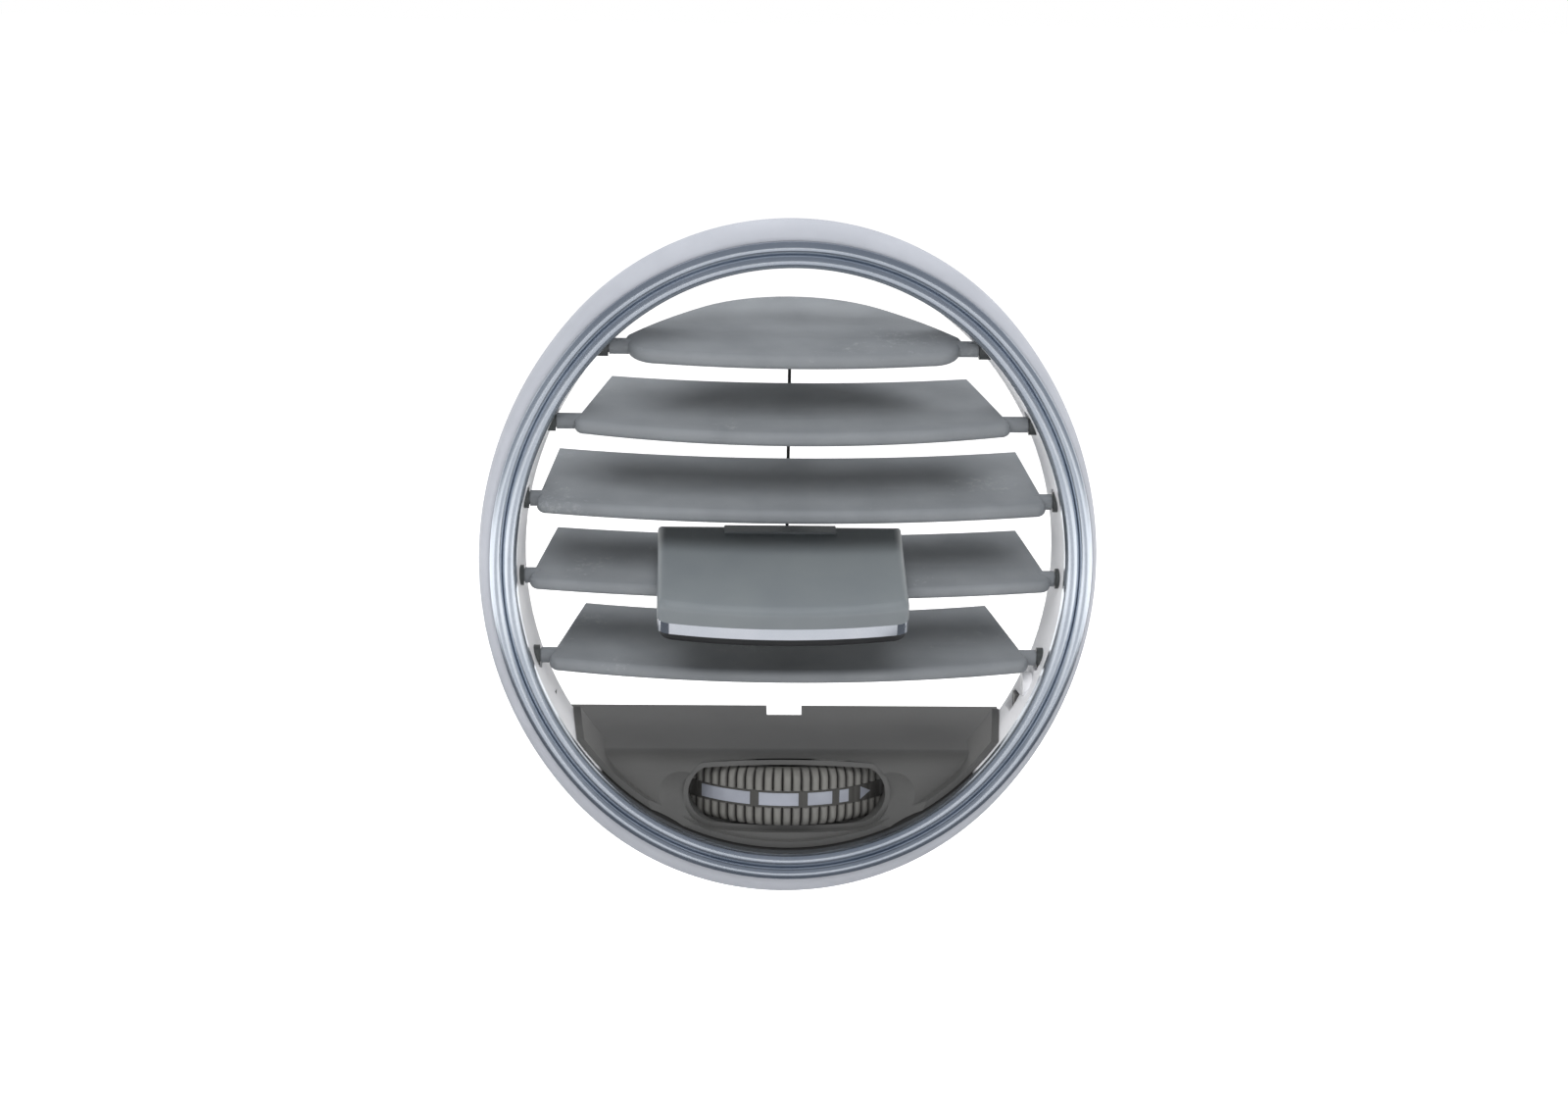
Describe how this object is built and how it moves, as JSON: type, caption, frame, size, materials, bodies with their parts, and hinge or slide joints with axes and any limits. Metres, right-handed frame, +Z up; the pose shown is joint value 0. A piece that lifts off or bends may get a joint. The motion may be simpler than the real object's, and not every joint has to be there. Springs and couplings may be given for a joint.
{
  "type": "dashboard air vent",
  "caption": "Oval dashboard air vent with a pearl and chrome bezel, linked tilting vanes, a sliding centre knob and a ribbed flow wheel in a lower panel.",
  "frame": {"origin": "centre of the bezel's rear seat, on the dashboard skin", "axes": "+X to the right as seen from the seats, +Y into the dashboard (the vent faces -Y), +Z up"},
  "size_m": [0.1208, 0.0605, 0.1352],
  "materials": {
    "pearl_paint": "matte pearl silver paint on moulded plastic",
    "satin_chrome": "satin chrome plating on moulded plastic",
    "silver_paint": "light silver paint on moulded plastic",
    "dark_bush": "moulded acetal, dull",
    "warm_grey": "fine grained moulding, warm dark grey",
    "vane_grey": "fine grained moulding, mid grey",
    "knob_grey": "smooth moulding, satin mid grey",
    "bright_trim": "bright chrome plating on moulded plastic",
    "dark_lip": "dark moulded plastic",
    "rubber_pad": "soft rubber, matte",
    "wheel_grey": "ribbed soft touch moulding",
    "mark_white": "pale grey inlay moulding",
    "black_nylon": "glass filled nylon, dull black",
    "steel": "zinc plated steel"
  },
  "bodies": {
    "vent_body": {"outer_bezel": "pearl_paint", "chrome_ring": "satin_chrome", "carrier": "silver_paint", "pivot_bushes": "dark_bush", "lower_panel": "warm_grey", "wheel_bracket": "black_nylon", "wheel_axle": "steel", "axle_clip": "steel", "bracket_screws": "steel"},
    "louver_1": {"vane_1": "vane_grey"},
    "louver_2": {"vane_2": "vane_grey"},
    "louver_3": {"vane_3": "vane_grey"},
    "louver_4": {"vane_4": "vane_grey", "friction_rings": "rubber_pad"},
    "louver_5": {"vane_5": "vane_grey"},
    "link": {"link_bar": "black_nylon"},
    "knob": {"knob_top": "knob_grey", "knob_trim": "bright_trim", "knob_base": "dark_lip", "knob_pad": "rubber_pad"},
    "flow_wheel": {"thumbwheel": "wheel_grey", "flow_marks": "mark_white", "damper_crank": "black_nylon"}
  },
  "joints": [
    {"name": "louver_4_tilt", "type": "hinge", "parent": "vent_body", "child": "louver_4", "pos_m": [0, 0.002, -0.0035], "axis": [1, 0, 0], "range_deg": [-37, 13]},
    {"name": "louver_1_tilt", "type": "hinge", "parent": "vent_body", "child": "louver_1", "pos_m": [0, 0.002, 0.0422], "axis": [1, 0, 0], "range_deg": [-37, 13]},
    {"name": "louver_2_tilt", "type": "hinge", "parent": "vent_body", "child": "louver_2", "pos_m": [0, 0.002, 0.0274], "axis": [1, 0, 0], "range_deg": [-37, 13]},
    {"name": "louver_3_tilt", "type": "hinge", "parent": "vent_body", "child": "louver_3", "pos_m": [0, 0.002, 0.012], "axis": [1, 0, 0], "range_deg": [-37, 13]},
    {"name": "louver_5_tilt", "type": "hinge", "parent": "vent_body", "child": "louver_5", "pos_m": [0, 0.002, -0.0197], "axis": [1, 0, 0], "range_deg": [-37, 13]},
    {"name": "link_swing", "type": "hinge", "parent": "louver_4", "child": "link", "pos_m": [0, 0.02356, -0.00198], "axis": [1, 0, 0], "range_deg": [-13, 37]},
    {"name": "knob_slide", "type": "slide", "parent": "louver_4", "child": "knob", "axis": [1, 0, 0], "range_m": [-0.008, 0.012]},
    {"name": "wheel_turn", "type": "hinge", "parent": "vent_body", "child": "flow_wheel", "pos_m": [0, 0.0245, -0.0485], "axis": [0, 0, 1], "range_deg": [-35, 35]}
  ],
  "couplings": [
    {"joint": "louver_1_tilt", "follows": "louver_4_tilt", "ratio": 1},
    {"joint": "louver_2_tilt", "follows": "louver_4_tilt", "ratio": 1},
    {"joint": "louver_3_tilt", "follows": "louver_4_tilt", "ratio": 1},
    {"joint": "louver_5_tilt", "follows": "louver_4_tilt", "ratio": 1},
    {"joint": "link_swing", "follows": "louver_4_tilt", "ratio": -1}
  ]
}
